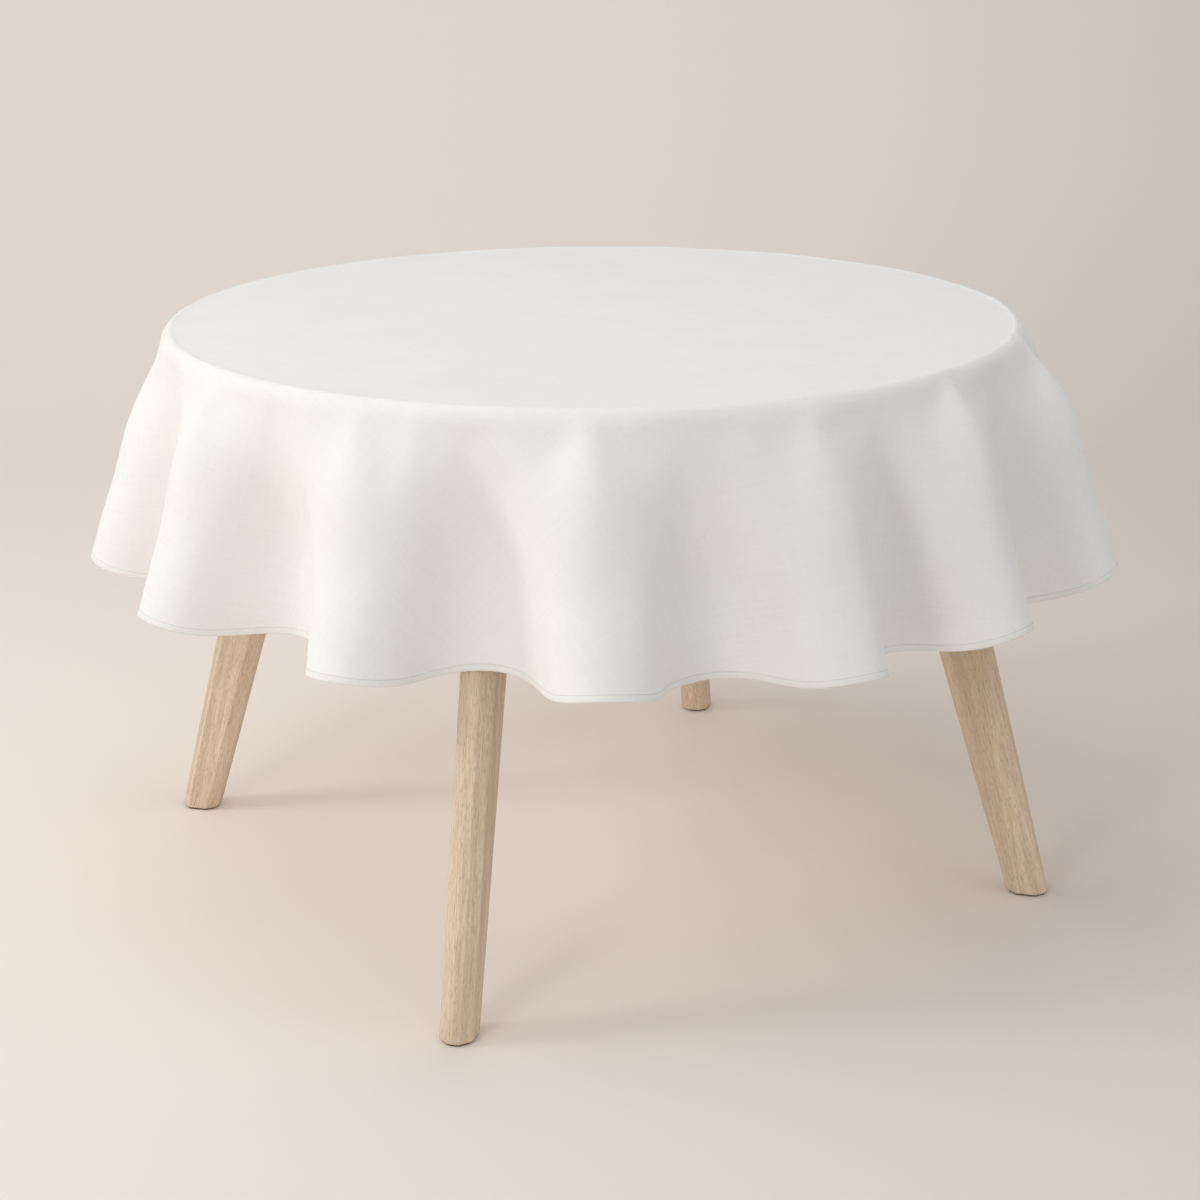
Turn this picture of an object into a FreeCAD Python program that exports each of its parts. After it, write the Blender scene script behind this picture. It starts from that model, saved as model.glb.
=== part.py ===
import FreeCAD, Part
import math
import os

# A round tablecloth draped over a round dining table, standing on four splayed legs.
# Millimetres, +Z up. The origin is on the floor under the middle of the top, and the
# legs stand on the diagonals of the X and Y axes. Angles are measured in plan from -Y
# towards +X, so an angle of 90 degrees points along +X.

# ---- driving dimensions ----
TOP_RADIUS = 550.0
BOARD_TOP = 742.7
BOARD_THICKNESS = 22.0
LIPPING_WIDTH = 14.0
LIPPING_ROUND = 10.0

LEG_ANGLES = {"front_left": -45.0, "front_right": 45.0, "back_right": 135.0, "back_left": 225.0}
LEG_FOOT_RADIUS = 593.0
LEG_HEAD_RADIUS = 388.0
LEG_FOOT_DEPTH = 52.0
LEG_HEAD_DEPTH = 92.0
LEG_FOOT_WIDTH = 41.0
LEG_HEAD_WIDTH = 44.0
LEG_FOOT_CHAMFER = 12.0
LEG_HEAD_CHAMFER = 15.0
LEG_CORNER_ROUND = 3.0
LEG_FACE_BULGE = 1.2
FOOT_BEVEL = 2.5

GLIDE_THICKNESS = 2.0
GLIDE_INSET = 4.0
NAIL_RADIUS = 1.2
NAIL_HEAD_RADIUS = 3.5
NAIL_HEAD_HEIGHT = 1.0
NAIL_LENGTH = 16.0

RAIL_WIDTH = 28.0
RAIL_HEIGHT = 70.0
RAIL_END_RADIUS = 372.0

BOLT_RADIUS = 4.0
BOLT_HEAD_RADIUS = 6.5
BOLT_HEAD_HEIGHT = 8.0
BOLT_SEAT_RADIUS = 430.0
BOLT_TIP_RADIUS = 322.0
COUNTERBORE_RADIUS = 9.0
WASHER_RADIUS = 8.0
WASHER_THICKNESS = 1.6
BARREL_RADIUS = 6.0
BARREL_LENGTH = 24.0
BARREL_CENTRE_RADIUS = 335.0
DOWEL_RADIUS = 4.0
DOWEL_LENGTH = 40.0
DOWEL_SPREAD = 20.0

BRACKET_CENTRE_RADIUS = 200.0
BRACKET_LEG = 32.0
BRACKET_LENGTH = 40.0
BRACKET_THICKNESS = 2.5
BRACKET_SCREW_SPREAD = 12.0
SCREW_RADIUS = 2.0
SCREW_LENGTH = 14.0
SCREW_HEAD_RADIUS = 4.0
SCREW_HEAD_HEIGHT = 2.2

CLOTH_THICKNESS = 2.0
CLOTH_GAP = 0.3
CLOTH_SHOULDER = 14.0
SKIRT_WAIST_RADIUS = 555.5
SKIRT_VALLEY_RADIUS = 558.0
SKIRT_VALLEY_HEM = 430.0
SKIRT_RIDGE_LIFT = 14.0
HEM_WIDTH = 9.0
HEM_PROUD = 0.5
STITCH_FROM_TOP_OF_HEM = 0.22
STITCH_SHARE = 0.12
STITCH_PROUD = 0.4

# Each fold of the skirt: the direction of its ridge, and the ridge's radius at the hem.
FOLDS = [
    (-112.0, 665.0), (-86.5, 658.0), (-57.0, 648.0), (-28.0, 657.0), (-1.0, 659.0),
    (20.5, 676.0), (45.0, 694.0), (72.0, 670.0), (97.0, 659.0), (120.0, 652.0),
    (142.0, 649.0), (164.0, 651.0), (185.0, 647.0), (205.0, 644.0), (225.5, 648.0),
]
POLES_AROUND = 180
SKIRT_LEVELS = [0.06, 0.16, 0.30, 0.46, 0.64, 0.82]

UP = FreeCAD.Vector(0, 0, 1)
BOARD_UNDERSIDE = BOARD_TOP - BOARD_THICKNESS
RAIL_BOTTOM = BOARD_UNDERSIDE - RAIL_HEIGHT
BOLT_HEIGHT = BOARD_UNDERSIDE - RAIL_HEIGHT / 2

os.makedirs("parts", exist_ok=True)


def direction(angle):
    """Unit vector in plan at an angle from -Y towards +X, in degrees."""
    turn = math.radians(angle)
    return FreeCAD.Vector(math.sin(turn), -math.cos(turn), 0)


def across(angle):
    """Unit vector in plan square to direction(angle)."""
    return direction(angle + 90.0)


def place(angle, radial, sideways, height):
    """Point at a radius along an angle, with a sideways offset and a height."""
    return direction(angle) * radial + across(angle) * sideways + UP * height


def rod(start, along, radius, length):
    """Cylinder from a start point along a unit vector."""
    return Part.makeCylinder(radius, length, start, along)


def block(angle, radial, sideways, height):
    """Box in a leg's own frame; each argument is a (low, high) pair."""
    corners = [(radial[0], sideways[0]), (radial[1], sideways[0]),
               (radial[1], sideways[1]), (radial[0], sideways[1])]
    points = [place(angle, r, s, height[0]) for r, s in corners]
    face = Part.Face(Part.makePolygon(points + points[:1]))
    return face.extrude(UP * (height[1] - height[0]))


def cut_all(solid, tools):
    """Solid with every tool removed from it."""
    for tool in tools:
        solid = solid.cut(tool)
    return solid


def save(name, solids):
    """Write one node; several solids become one group."""
    shape = solids[0] if len(solids) == 1 else Part.makeCompound(solids)
    for solid in solids:
        if not solid.isValid() or len(solid.Solids) != 1:
            print("CHECK", name, solid.isValid(), len(solid.Solids))
    shape.exportStep("parts/" + name + ".step")
    print("%-24s solids %2d volume %10.0f" % (name, len(solids), shape.Volume))


# ---- legs: eight-sided, tapered, splayed outwards ----
def leg_measure(at_foot, at_head, height):
    """Leg dimension at a height, between its foot and the underside of the board."""
    return at_foot + (at_head - at_foot) * height / BOARD_UNDERSIDE


def leg_outline(angle, height, inset=0.0):
    """Eight-sided closed outline of a leg at a height, with rounded corners."""
    centre = leg_measure(LEG_FOOT_RADIUS, LEG_HEAD_RADIUS, height)
    half_depth = leg_measure(LEG_FOOT_DEPTH, LEG_HEAD_DEPTH, height) / 2 - inset
    half_width = leg_measure(LEG_FOOT_WIDTH, LEG_HEAD_WIDTH, height) / 2 - inset
    chamfer = leg_measure(LEG_FOOT_CHAMFER, LEG_HEAD_CHAMFER, height) - inset * 0.6
    plan = [(half_depth, half_width - chamfer), (half_depth - chamfer, half_width),
            (chamfer - half_depth, half_width), (-half_depth, half_width - chamfer),
            (-half_depth, chamfer - half_width), (chamfer - half_depth, -half_width),
            (half_depth - chamfer, -half_width), (half_depth, chamfer - half_width)]
    corners = [place(angle, centre + r, s, height) for r, s in plan]
    edges = []
    for i, corner in enumerate(corners):
        before = (corners[i - 1] - corner).normalize()
        after = (corners[(i + 1) % 8] - corner).normalize()
        reach = LEG_CORNER_ROUND * math.tan(math.radians(22.5))
        start = corner + before * reach
        end = corner + after * reach
        sagitta = reach * math.tan(math.radians(11.25))
        middle = (start + end) / 2 + (before + after).normalize() * -sagitta
        edges.append(Part.Arc(start, middle, end).toShape())
        next_corner = corners[(i + 1) % 8]
        next_start = next_corner - after * reach
        if i == 7:
            bulge = (end + next_start) / 2 + direction(angle) * LEG_FACE_BULGE
            edges.append(Part.Arc(end, bulge, next_start).toShape())
        else:
            edges.append(Part.makeLine(end, next_start))
    return Part.Wire(edges)


def make_leg(angle):
    """Leg blank: a bevelled foot, then one straight taper up to the board."""
    outlines = [leg_outline(angle, GLIDE_THICKNESS, FOOT_BEVEL),
                leg_outline(angle, GLIDE_THICKNESS + FOOT_BEVEL),
                leg_outline(angle, BOARD_UNDERSIDE)]
    return Part.makeLoft(outlines, True, True)


def make_glide(angle):
    """Thin pad under a foot."""
    outline = leg_outline(angle, 0.0, GLIDE_INSET)
    return Part.Face(outline).extrude(UP * GLIDE_THICKNESS)


def make_nail(angle):
    """Round nail whose head lies flush in the glide."""
    start = place(angle, LEG_FOOT_RADIUS, 0, GLIDE_THICKNESS / 2)
    head = rod(start, UP, NAIL_HEAD_RADIUS, NAIL_HEAD_HEIGHT)
    shank = rod(start, UP, NAIL_RADIUS, NAIL_LENGTH)
    return head.fuse(shank).removeSplitter()


# ---- fasteners between a leg and its rail ----
def make_bolt(angle):
    """Socket-head bolt through the leg, pointing at the middle of the table."""
    inwards = direction(angle) * -1
    seat = BOLT_SEAT_RADIUS + WASHER_THICKNESS
    shank = rod(place(angle, seat, 0, BOLT_HEIGHT), inwards, BOLT_RADIUS, seat - BOLT_TIP_RADIUS)
    head_start = place(angle, seat + BOLT_HEAD_HEIGHT, 0, BOLT_HEIGHT)
    head = rod(head_start, inwards, BOLT_HEAD_RADIUS, BOLT_HEAD_HEIGHT)
    hexagon = []
    for step in range(7):
        turn = math.radians(60.0 * step)
        corner = head_start + across(angle) * 3.4 * math.cos(turn) + UP * 3.4 * math.sin(turn)
        hexagon.append(corner)
    socket = Part.Face(Part.makePolygon(hexagon)).extrude(inwards * BOLT_HEAD_HEIGHT * 0.5)
    return shank.fuse(head).removeSplitter().cut(socket)


def make_washer(angle):
    """Flat washer under the bolt head."""
    start = place(angle, BOLT_SEAT_RADIUS, 0, BOLT_HEIGHT)
    disc = rod(start, direction(angle), WASHER_RADIUS, WASHER_THICKNESS)
    return disc.cut(rod(start, direction(angle), BOLT_RADIUS, WASHER_THICKNESS))


def barrel_blank(angle, length):
    """Cylinder across the rail, centred on the bolt's line."""
    start = place(angle, BARREL_CENTRE_RADIUS, -length / 2, BOLT_HEIGHT)
    return rod(start, across(angle), BARREL_RADIUS, length)


def make_dowels(angle):
    """Two dowels above and below the bolt, half in the leg and half in the rail."""
    dowels = []
    for offset in (-DOWEL_SPREAD, DOWEL_SPREAD):
        start = place(angle, RAIL_END_RADIUS - DOWEL_LENGTH / 2, 0, BOLT_HEIGHT + offset)
        dowels.append(rod(start, direction(angle), DOWEL_RADIUS, DOWEL_LENGTH))
    return dowels


def counterbore(angle):
    """Open space outside the washer, for the bolt head."""
    start = place(angle, BOLT_SEAT_RADIUS, 0, BOLT_HEIGHT)
    return rod(start, direction(angle), COUNTERBORE_RADIUS, LEG_HEAD_DEPTH)


# ---- brackets between a rail and the board ----
def make_bracket(angle):
    """Steel angle: one flange on the rail's side, one flange on the board."""
    half = BRACKET_LENGTH / 2
    span = (BRACKET_CENTRE_RADIUS - half, BRACKET_CENTRE_RADIUS + half)
    side = RAIL_WIDTH / 2
    upright = block(angle, span, (side, side + BRACKET_THICKNESS),
                    (BOARD_UNDERSIDE - BRACKET_LEG, BOARD_UNDERSIDE))
    flange = block(angle, span, (side, side + BRACKET_LEG),
                   (BOARD_UNDERSIDE - BRACKET_THICKNESS, BOARD_UNDERSIDE))
    bracket = upright.fuse(flange).removeSplitter()
    return cut_all(bracket, make_bracket_screws(angle))


def make_screw(seat, along):
    """Pan-head wood screw seated at a point, its shank along a unit vector."""
    shank = rod(seat, along, SCREW_RADIUS, SCREW_LENGTH)
    head = rod(seat - along * SCREW_HEAD_HEIGHT, along, SCREW_HEAD_RADIUS, SCREW_HEAD_HEIGHT)
    return shank.fuse(head).removeSplitter()


def make_bracket_screws(angle):
    """Two screws into the board and two into the rail."""
    side = RAIL_WIDTH / 2
    reach = BRACKET_THICKNESS + (BRACKET_LEG - BRACKET_THICKNESS) / 2
    screws = []
    for offset in (-BRACKET_SCREW_SPREAD, BRACKET_SCREW_SPREAD):
        radial = BRACKET_CENTRE_RADIUS + offset
        up_seat = place(angle, radial, side + reach, BOARD_UNDERSIDE - BRACKET_THICKNESS)
        screws.append(make_screw(up_seat, UP))
        in_seat = place(angle, radial, side + BRACKET_THICKNESS, BOARD_UNDERSIDE - reach)
        screws.append(make_screw(in_seat, across(angle) * -1))
    return screws


# ---- underframe: two rails, halved together where they cross ----
def make_rail(angle, lap_is_above):
    """Rail on a diagonal, with half its height cut away for the other rail."""
    rail = block(angle, (-RAIL_END_RADIUS, RAIL_END_RADIUS), (-RAIL_WIDTH / 2, RAIL_WIDTH / 2),
                 (RAIL_BOTTOM, BOARD_UNDERSIDE))
    middle = RAIL_BOTTOM + RAIL_HEIGHT / 2
    lap = (middle, BOARD_UNDERSIDE) if lap_is_above else (RAIL_BOTTOM, middle)
    half = RAIL_WIDTH / 2
    return rail.cut(block(angle, (-half, half), (-half, half), lap))


def rail_housing(angle):
    """Flat-bottomed slot in a leg's inner side that takes the end of a rail."""
    return block(angle, (0.0, RAIL_END_RADIUS), (-RAIL_WIDTH / 2, RAIL_WIDTH / 2),
                 (RAIL_BOTTOM, BOARD_UNDERSIDE))


# ---- board: a core with a solid edge lipping ----
def make_lipping():
    """Ring round the core, with its two outer edges rounded."""
    outer = Part.makeCylinder(TOP_RADIUS, BOARD_THICKNESS, UP * BOARD_UNDERSIDE)
    rims = [edge for edge in outer.Edges if edge.isClosed()]
    outer = outer.makeFillet(LIPPING_ROUND, rims)
    core_radius = TOP_RADIUS - LIPPING_WIDTH
    return outer.cut(Part.makeCylinder(core_radius, BOARD_THICKNESS, UP * BOARD_UNDERSIDE))


def make_core():
    """Flat round core inside the lipping."""
    return Part.makeCylinder(TOP_RADIUS - LIPPING_WIDTH, BOARD_THICKNESS, UP * BOARD_UNDERSIDE)


# ---- tablecloth: a thin closed shell over the board, with a fluted skirt ----
def fold_swing(angle):
    """Ridge share (1 on a ridge, 0 in a valley) and the nearest fold's ridge radius."""
    for i, (ridge, radius) in enumerate(FOLDS):
        next_ridge, next_radius = FOLDS[(i + 1) % len(FOLDS)]
        gap = (next_ridge - ridge) % 360.0
        along = (angle - ridge) % 360.0
        if along < gap:
            share = along / gap
            ridge_radius = radius if share < 0.5 else next_radius
            return 0.5 + 0.5 * math.cos(2 * math.pi * share), ridge_radius
    return 1.0, FOLDS[0][1]


def skirt_point(angle, drop):
    """Point on the skirt's outer side; drop is 0 at the waist and 1 at the hem."""
    ridge_share, ridge_radius = fold_swing(angle)
    hem_radius = SKIRT_VALLEY_RADIUS + (ridge_radius - SKIRT_VALLEY_RADIUS) * ridge_share
    flare = 1.0 - (1.0 - drop) ** 1.5
    radius = SKIRT_WAIST_RADIUS + (hem_radius - SKIRT_WAIST_RADIUS) * flare
    hem_height = SKIRT_VALLEY_HEM + SKIRT_RIDGE_LIFT * ridge_share
    waist_height = BOARD_TOP - CLOTH_SHOULDER
    return place(angle, radius, 0, waist_height + (hem_height - waist_height) * drop)


def skirt_normal(angle, drop):
    """Outward unit normal of the skirt, from small steps around and down it."""
    step = 0.01
    around = skirt_point(angle + 0.5, drop) - skirt_point(angle - 0.5, drop)
    down = skirt_point(angle, min(drop + step, 1.0)) - skirt_point(angle, max(drop - step, 0.0))
    return down.cross(around).normalize()


def around_angles():
    """Directions of the control points round the cloth."""
    return [360.0 * i / POLES_AROUND for i in range(POLES_AROUND)]


def skirt_row(drop, depth, normal_drop=None):
    """Control points round the skirt, set back from its outer side by a depth."""
    at = drop if normal_drop is None else normal_drop
    return [skirt_point(a, drop) - skirt_normal(a, at) * depth for a in around_angles()]


def ring_row(radius, height):
    """Control points round a level circle."""
    return [place(a, radius, 0, height) for a in around_angles()]


def mixed_row(first, second, share):
    """Control points part of the way from one row to another."""
    return [a * (1.0 - share) + b * share for a, b in zip(first, second)]


def sector_ranges():
    """Start and end parameter of each sector of a wall round the table."""
    span = POLES_AROUND / len(FOLDS)
    return [(i * span, (i + 1) * span) for i in range(len(FOLDS))]


def wall_faces(rows):
    """Smooth wall through rows of control points, one face for each sector."""
    down_degree = min(3, len(rows) - 1)
    spans = len(rows) - down_degree
    down_mults = [down_degree + 1] + [1] * (spans - 1) + [down_degree + 1]
    poles = [[row[i] for row in rows] for i in range(POLES_AROUND)]
    surface = Part.BSplineSurface()
    surface.buildFromPolesMultsKnots(
        poles, [1] * (POLES_AROUND + 1), down_mults,
        [float(i) for i in range(POLES_AROUND + 1)], [float(i) for i in range(spans + 1)],
        True, False, 3, down_degree)
    return [surface.toShape(start, end, 0.0, float(spans)) for start, end in sector_ranges()]


def lid_faces(row):
    """Flat face inside one level row, as a list of one."""
    curve = Part.BSplineCurve()
    curve.buildFromPolesMultsKnots(
        row, [1] * (POLES_AROUND + 1), [float(i) for i in range(POLES_AROUND + 1)], True, 3)
    edges = [curve.toShape(start, end) for start, end in sector_ranges()]
    return [Part.Face(Part.Wire(edges))]


def sewn_solid(faces):
    """Closed solid from faces that share their borders."""
    shell = Part.makeShell(faces)
    shell.sewShape()
    solid = Part.Solid(shell if shell.ShapeType == "Shell" else shell.Shells[0])
    if solid.Volume < 0:
        solid.reverse()
    return solid


def panel_rows(depth):
    """Rows of the panel, from the flat top over the shoulder and down to the hem."""
    top = BOARD_TOP + CLOTH_GAP + CLOTH_THICKNESS - depth
    corner = SKIRT_WAIST_RADIUS - depth
    rows = [ring_row(corner - CLOTH_SHOULDER, top),
            ring_row(corner - CLOTH_SHOULDER * 0.35, top),
            ring_row(corner, top - CLOTH_SHOULDER * 0.35)]
    rows += [skirt_row(level, depth) for level in SKIRT_LEVELS]
    rows.append(skirt_row(hem_start(), depth))
    return rows


def hem_start():
    """Share of the drop at which the folded hem begins."""
    return 1.0 - HEM_WIDTH / (BOARD_TOP - CLOTH_SHOULDER - SKIRT_VALLEY_HEM)


def make_panel():
    """The cloth from edge to edge, down to the top of the hem."""
    outer = panel_rows(0.0)
    inner = panel_rows(CLOTH_THICKNESS)
    faces = wall_faces(outer) + wall_faces(inner) + wall_faces([outer[-1], inner[-1]])
    return sewn_solid(faces + lid_faces(outer[0]) + lid_faces(inner[0]))


def band_solid(outer, inner):
    """Closed ring between an outer and an inner pair of rows."""
    loop = [outer[0], outer[1], inner[1], inner[0], outer[0]]
    faces = []
    for i in range(4):
        faces += wall_faces([loop[i], loop[i + 1]])
    return sewn_solid(faces)


def hem_pair(depth):
    """Upper and lower row of the hem at a depth from the skirt's outer side."""
    start = hem_start()
    return [skirt_row(start, depth, start), skirt_row(1.0, depth, start)]


def make_hem():
    """The folded edge, a little thicker than the panel on both sides."""
    return band_solid(hem_pair(-HEM_PROUD), hem_pair(CLOTH_THICKNESS + HEM_PROUD))


def make_stitching():
    """One raised line of stitching on the outside of the hem."""
    pairs = []
    for depth in (-HEM_PROUD - STITCH_PROUD, -HEM_PROUD):
        upper, lower = hem_pair(depth)
        pairs.append([mixed_row(upper, lower, STITCH_FROM_TOP_OF_HEM),
                      mixed_row(upper, lower, STITCH_FROM_TOP_OF_HEM + STITCH_SHARE)])
    return band_solid(pairs[0], pairs[1])


# ---- write the nodes ----
angles = list(LEG_ANGLES.values())
bolts = [make_bolt(angle) for angle in angles]
washers = [make_washer(angle) for angle in angles]
dowels = [dowel for angle in angles for dowel in make_dowels(angle)]
nails = [make_nail(angle) for angle in angles]
brackets = [make_bracket(angle) for angle in angles]
screws = [screw for angle in angles for screw in make_bracket_screws(angle)]
barrels = [barrel_blank(angle, BARREL_LENGTH).cut(bolt) for angle, bolt in zip(angles, bolts)]
barrel_holes = [barrel_blank(angle, RAIL_WIDTH) for angle in angles]

for name, angle in LEG_ANGLES.items():
    leg = cut_all(make_leg(angle), [rail_housing(angle), counterbore(angle)])
    save("leg_" + name, [cut_all(leg, bolts + dowels + nails)])
    save("foot_glide_" + name, [cut_all(make_glide(angle), nails)])

rail_tools = bolts + dowels + barrel_holes + screws
save("rail_front_left_to_back_right", [cut_all(make_rail(-45.0, True), rail_tools)])
save("rail_front_right_to_back_left", [cut_all(make_rail(45.0, False), rail_tools)])

save("glide_nails", nails)
save("leg_bolts", bolts)
save("bolt_washers", washers)
save("barrel_nuts", barrels)
save("leg_dowels", dowels)
save("top_brackets", brackets)
save("bracket_screws", screws)

save("top_core", [cut_all(make_core(), screws)])
save("top_edge_lipping", [make_lipping()])

save("tablecloth_panel", [make_panel()])
save("tablecloth_hem", [make_hem()])
save("hem_stitching", [make_stitching()])
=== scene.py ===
import math

import bpy
import numpy as np
from mathutils import Matrix, Vector


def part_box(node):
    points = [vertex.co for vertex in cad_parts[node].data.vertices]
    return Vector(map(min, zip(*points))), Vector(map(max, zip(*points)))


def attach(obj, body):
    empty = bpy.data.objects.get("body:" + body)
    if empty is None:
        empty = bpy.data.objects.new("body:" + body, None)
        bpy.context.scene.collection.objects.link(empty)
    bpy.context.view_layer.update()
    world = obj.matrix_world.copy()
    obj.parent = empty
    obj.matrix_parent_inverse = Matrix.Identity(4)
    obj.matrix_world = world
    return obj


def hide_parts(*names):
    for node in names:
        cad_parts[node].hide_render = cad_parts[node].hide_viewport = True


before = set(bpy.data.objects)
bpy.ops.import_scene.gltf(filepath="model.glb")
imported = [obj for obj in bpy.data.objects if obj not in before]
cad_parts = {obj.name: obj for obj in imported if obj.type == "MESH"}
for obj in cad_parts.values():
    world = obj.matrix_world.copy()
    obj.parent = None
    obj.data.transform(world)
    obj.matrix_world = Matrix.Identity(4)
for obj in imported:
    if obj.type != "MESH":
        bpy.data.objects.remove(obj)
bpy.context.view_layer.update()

# A round linen tablecloth over a round table on four splayed oak legs. Metres, +Z up.
# Directions in plan are degrees from -Y towards +X.

# ---- sizes taken from the frame ----
BOARD_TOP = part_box("top_core")[1][2]
BOARD_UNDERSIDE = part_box("top_core")[0][2]
TOP_RADIUS = max(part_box("top_edge_lipping")[1][:2])

# ---- the cloth ----
CLOTH_RADIUS = 0.875
CLOTH_THICKNESS = 0.0007
CLOTH_LIFT = 0.0011          # middle of the cloth above the board
EDGE_ROUND = 0.010           # rounding of the board's edge
LEAVE_ANGLE = math.radians(40.0)     # how far the cloth bends before it leaves the edge
FLARE = 0.022                # how far the cloth would stand out below the edge unfolded
STAND_OUT = math.radians(62.0)       # in this direction the cloth stands out more:
STAND_OUT_ANGLE = math.radians(27.0)     # it leaves the edge flatter by so much
STAND_OUT_FLARE = 0.026              # and the flare is wider by so much
FOLD_FADE = 0.075            # length over which the folds grow out of that flare
VALLEY_FALL = 0.70           # share of the drop by which a valley is at its deepest
CLOTH_SHIFT = 0.007          # the cloth lies this far off the table's middle ...
SHIFT_DIRECTION = math.radians(90.0)   # ... in this direction, so it hangs lower there
HEM_WIDTH = 0.0095

# Folds of the skirt: direction of the ridge at the hem, how far from the table's axis that
# ridge is to lie there, and how far the valley after it.
FOLDS = [
    (-112.1, 0.665, 0.526), (-86.6, 0.645, 0.517), (-57.1, 0.636, 0.518),
    (-28.1, 0.652, 0.534), (-1.1, 0.652, 0.539), (20.4, 0.664, 0.552),
    (44.9, 0.693, 0.544), (71.9, 0.670, 0.529), (96.9, 0.658, 0.536),
    (119.9, 0.651, 0.526), (141.9, 0.648, 0.532), (163.9, 0.651, 0.524),
    (184.9, 0.646, 0.534), (204.9, 0.644, 0.524), (225.4, 0.646, 0.530),
]
RIDGES = np.array([ridge for ridge, _, _ in FOLDS] + [FOLDS[0][0] + 360.0])
FOLD_STEPS = 96
RIDGE_GIVE = 0.004           # missing a ridge's radius by so much counts the same as
FLAT_GIVE = 1.5              # moving it by so many degrees on the flat cloth, or as
VALLEY_GIVE = 0.006          # moving a valley in or out by so much
FIT_STEPS = 8
FIT_NUDGE = 0.001

# ---- the camera ----
CAMERA_AZIMUTH = -29.14
CAMERA_DISTANCE = 3.217
CAMERA_HEIGHT = 1.357
CAMERA_PITCH = 17.27
CAMERA_YAW = 0.12
CAMERA_ROLL = 0.35
CAMERA_LENS = 75.2


def smooth_step(value):
    """0 below 0, 1 above 1, and a smooth rise between."""
    t = np.clip(value, 0.0, 1.0)
    return t * t * (3.0 - 2.0 * t)


# ---------------------------------------------------------------- shape of the drape
def fold_outlines(flat_ridges, flat_radii, share, valley_radii):
    """Plan of one ring of cloth, fold by fold, from ridge to ridge.

    Each fold is the curve that a bent strip takes: its direction swings to and fro as a
    sine of the length along it. The swing is found so that the fold's length is the one
    that the flat cloth has there. Returns angle and radius at even lengths along it."""
    ridges = np.radians(flat_ridges + (RIDGES - flat_ridges) * share)
    widths = np.diff(ridges)[:, None]
    lengths = (np.radians(np.diff(flat_ridges)) * flat_radii / FOLD_STEPS)[:, None]
    wave = np.sin(2 * np.pi * (np.arange(FOLD_STEPS) + 0.5) / FOLD_STEPS)[None, :]
    low = np.zeros_like(widths)
    high = np.full_like(widths, 2.2)
    zero = np.zeros_like(widths)
    for _ in range(32):
        swing = (low + high) / 2
        radius = np.hstack([zero, np.cumsum(-np.sin(swing * wave) * lengths, axis=1)])
        radius += valley_radii[:, None] - radius.min(axis=1, keepdims=True)
        middle = (radius[:, 1:] + radius[:, :-1]) / 2
        angle = np.hstack([zero, np.cumsum(np.cos(swing * wave) * lengths / middle, axis=1)])
        too_long = angle[:, -1:] > widths
        low = np.where(too_long, swing, low)
        high = np.where(too_long, high, swing)
    angle *= widths / angle[:, -1:]
    ridge = (radius[:, 0] + np.roll(radius[:, 0], 1)) / 2
    place = np.linspace(0.0, 1.0, FOLD_STEPS + 1)[None, :]
    fade = np.where(place < 0.5, np.cos(np.pi * place) ** 2, 0.0)
    radius = radius + fade * (ridge - radius[:, 0])[:, None]
    radius = radius + fade[:, ::-1] * (np.roll(ridge, -1) - radius[:, -1])[:, None]
    return ridges[:-1, None] + angle, radius


def edge_lengths():
    """Flat radius where the cloth meets the rounded edge, and where it leaves it."""
    start = TOP_RADIUS - EDGE_ROUND
    return start, start + (EDGE_ROUND + CLOTH_LIFT) * LEAVE_ANGLE


def flat_directions(count):
    """Direction of each point on the flat cloth, from the first ridge round."""
    return np.radians(FLAT_RIDGES[0] + 360.0 * np.arange(count) / count)


def flat_measure(flat_radii, directions):
    """Distance on the flat cloth from the table's middle, for each ring and direction."""
    leaving = edge_lengths()[1]
    hung = np.maximum(np.asarray(flat_radii) - leaving, 0.0)[:, None]
    shift = CLOTH_SHIFT * np.cos(directions - SHIFT_DIRECTION) / (CLOTH_RADIUS - leaving)
    return np.asarray(flat_radii)[:, None] + hung * shift[None, :]


def ridge_radii(flat_ridges, valley_radii):
    """How far from the table's axis the ridges come out at the hem."""
    middles = np.radians((flat_ridges[1:] + flat_ridges[:-1]) / 2)
    flat_radii = flat_measure([CLOTH_RADIUS], middles)[0]
    return fold_outlines(flat_ridges, flat_radii, 1.0, valley_radii)[1][:, 0]


def fit_folds():
    """Directions of the ridges on the flat cloth, and radii of the valleys at the hem.

    The flat cloth goes round only once, so the ridges can't all reach the radius that is
    wanted. Least squares shares what is missing between the ridges' radii, their places on
    the flat cloth and the valleys."""
    count = len(FOLDS)
    wanted = np.array([radius for _, radius, _ in FOLDS])
    valleys = np.array([valley for _, _, valley in FOLDS])

    def moved(change):
        flat = RIDGES[:-1] + FLAT_GIVE * change[:count]
        return np.append(flat, flat[0] + 360.0), valleys + VALLEY_GIVE * change[count:]

    def misses(change):
        return np.append((ridge_radii(*moved(change)) - wanted) / RIDGE_GIVE, change)

    change = np.zeros(2 * count)
    for _ in range(FIT_STEPS):
        now = misses(change)
        slopes = np.array([(misses(change + nudge) - now) / FIT_NUDGE
                           for nudge in FIT_NUDGE * np.eye(2 * count)])
        change -= np.linalg.lstsq(slopes.T, now, rcond=None)[0]
    flat_ridges, valley_radii = moved(change)
    return flat_ridges.round(1), valley_radii.round(3)


FLAT_RIDGES, VALLEYS = fit_folds()


def standing_out(directions):
    """1 where the cloth stands out most at the edge, falling to 0 further round."""
    return np.maximum(np.cos(directions - STAND_OUT), 0.0) ** 3


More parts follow.
